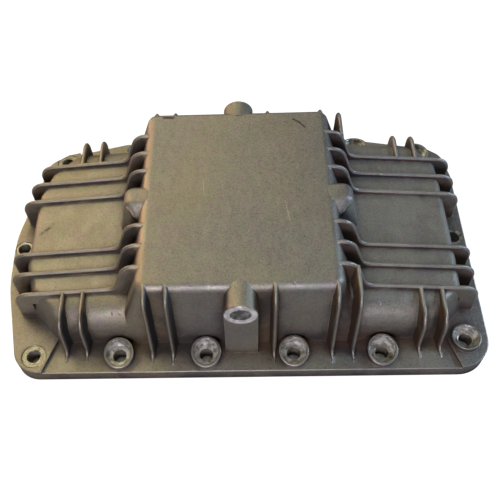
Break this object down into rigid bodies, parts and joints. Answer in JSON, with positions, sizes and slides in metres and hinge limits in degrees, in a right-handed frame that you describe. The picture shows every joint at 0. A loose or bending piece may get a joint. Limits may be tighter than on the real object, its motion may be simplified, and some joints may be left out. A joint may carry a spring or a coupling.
{
  "type": "engine oil pan",
  "caption": "Cast aluminium oil pan with a deep finned centre sump between shallow ribbed wings, a bolted flange and a drain port in one long wall.",
  "frame": {"origin": "centre of the footprint on the mating face of the flange", "axes": "+X along the length, -Y towards the drain port, +Z from the mating face towards the sump top; the pan rests upside down on its mating face"},
  "size_m": [0.41, 0.2536, 0.0887],
  "materials": {
    "casting": "as cast, rough"
  },
  "bodies": {
    "root": {"oil_pan": "casting"}
  },
  "joints": []
}
